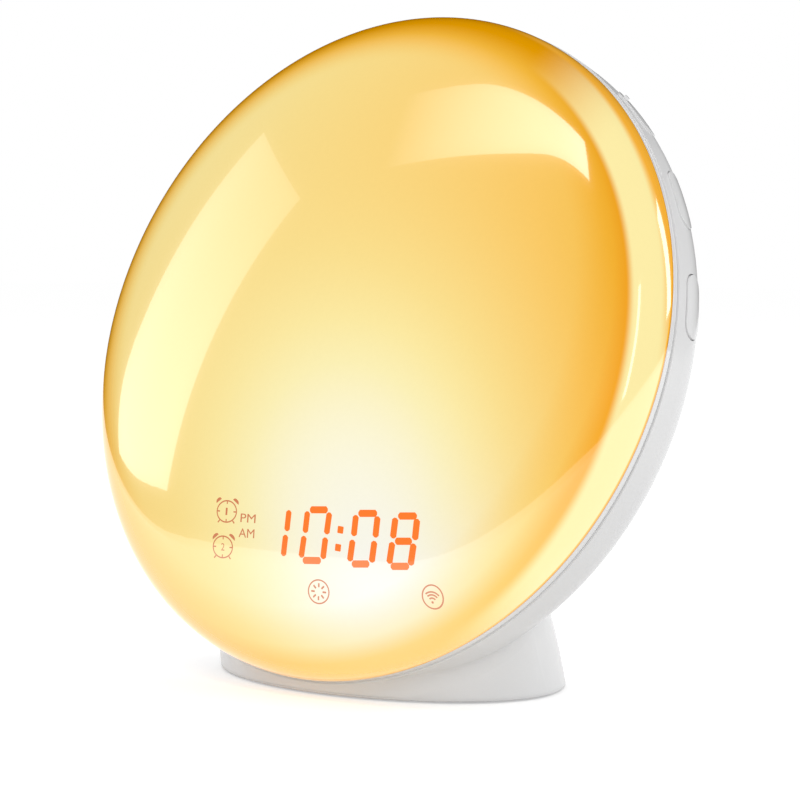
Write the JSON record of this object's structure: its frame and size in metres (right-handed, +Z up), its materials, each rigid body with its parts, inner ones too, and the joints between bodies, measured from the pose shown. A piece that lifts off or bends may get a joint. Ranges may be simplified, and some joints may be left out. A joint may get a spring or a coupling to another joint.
{
  "type": "sunrise alarm clock",
  "caption": "Round wake-up lamp on a flared foot: leaning domed diffuser, clock display behind its lower edge, press buttons on the rim and a speaker grille behind.",
  "frame": {"origin": "on the table, under the middle of the bounding box", "axes": "+Z up, the glowing face looks towards -Y and leans back, +X is the width"},
  "size_m": [0.169, 0.0776, 0.1637],
  "materials": {
    "diffuser": "glossy milky diffuser, lit amber to pale yellow from inside",
    "gloss_white": "polished white",
    "shell_white": "smooth satin white moulding",
    "button_white": "smooth white",
    "base_white": "fine matt white",
    "rubber_grey": "soft grey rubber",
    "screw_steel": "plated steel",
    "cell_steel": "bright nickel",
    "black_plastic": "matt black",
    "pan_white": "bright matt white reflector",
    "white_board": "white solder mask",
    "green_board": "green solder mask",
    "led_yellow": "phosphor yellow",
    "lens_milky": "milky light guide",
    "can_metal": "tinned shield can",
    "chip_black": "moulded black epoxy",
    "stem_black": "black nylon",
    "capacitor_sleeve": "shrink sleeve",
    "basket_steel": "pressed black steel",
    "magnet_grey": "sintered ferrite",
    "cone_black": "pressed paper cone"
  },
  "bodies": {
    "body": {"base_plate": "base_white", "base_screws": "screw_steel", "battery_door": "base_white", "battery_door_screw": "screw_steel", "battery_holder": "black_plastic", "board_headers": "black_plastic", "board_screws": "screw_steel", "button_board_left": "green_board", "button_board_right": "green_board", "capacitors": "capacitor_sleeve", "chips": "chip_black", "coin_cell": "cell_steel", "dc_jack": "black_plastic", "diffuser_dome": "diffuser", "display_board": "green_board", "display_hood": "black_plastic", "display_leds": "led_yellow", "display_segments": "lens_milky", "front_ring": "gloss_white", "housing_screws": "screw_steel", "led_board": "white_board", "leds": "led_yellow", "main_board": "green_board", "rear_housing": "shell_white", "reflector_pan": "pan_white", "rubber_feet": "rubber_grey", "speaker_basket": "basket_steel", "speaker_cone": "cone_black", "speaker_magnet": "magnet_grey", "tact_switches_left": "chip_black", "tact_switches_right": "chip_black", "wifi_module": "can_metal"},
    "button_right_lower": {"button_right_lower": "button_white", "switch_stem_right_lower": "stem_black"},
    "button_right_middle": {"button_right_middle": "button_white", "switch_stem_right_middle": "stem_black"},
    "button_right_upper": {"button_right_upper": "button_white", "switch_stem_right_upper": "stem_black"},
    "button_left_lower": {"button_left_lower": "button_white", "switch_stem_left_lower": "stem_black"},
    "button_left_middle": {"button_left_middle": "button_white", "switch_stem_left_middle": "stem_black"},
    "button_left_upper": {"button_left_upper": "button_white", "switch_stem_left_upper": "stem_black"}
  },
  "joints": [
    {"name": "button_right_lower_press", "type": "slide", "parent": "body", "child": "button_right_lower", "axis": [-0.9884, -0.0483, -0.1443], "range_m": [0, 0.0005], "stiffness_N_per_m": 1500, "springref_m": -0.0006},
    {"name": "button_right_middle_press", "type": "slide", "parent": "body", "child": "button_right_middle", "axis": [-0.8874, -0.1463, -0.4372], "range_m": [0, 0.0005], "stiffness_N_per_m": 1500, "springref_m": -0.0006},
    {"name": "button_right_upper_press", "type": "slide", "parent": "body", "child": "button_right_upper", "axis": [-0.6928, -0.2288, -0.6839], "range_m": [0, 0.0005], "stiffness_N_per_m": 1500, "springref_m": -0.0006},
    {"name": "button_left_lower_press", "type": "slide", "parent": "body", "child": "button_left_lower", "axis": [0.9884, -0.0483, -0.1443], "range_m": [0, 0.0005], "stiffness_N_per_m": 1500, "springref_m": -0.0006},
    {"name": "button_left_middle_press", "type": "slide", "parent": "body", "child": "button_left_middle", "axis": [0.8874, -0.1463, -0.4372], "range_m": [0, 0.0005], "stiffness_N_per_m": 1500, "springref_m": -0.0006},
    {"name": "button_left_upper_press", "type": "slide", "parent": "body", "child": "button_left_upper", "axis": [0.6928, -0.2288, -0.6839], "range_m": [0, 0.0005], "stiffness_N_per_m": 1500, "springref_m": -0.0006}
  ]
}
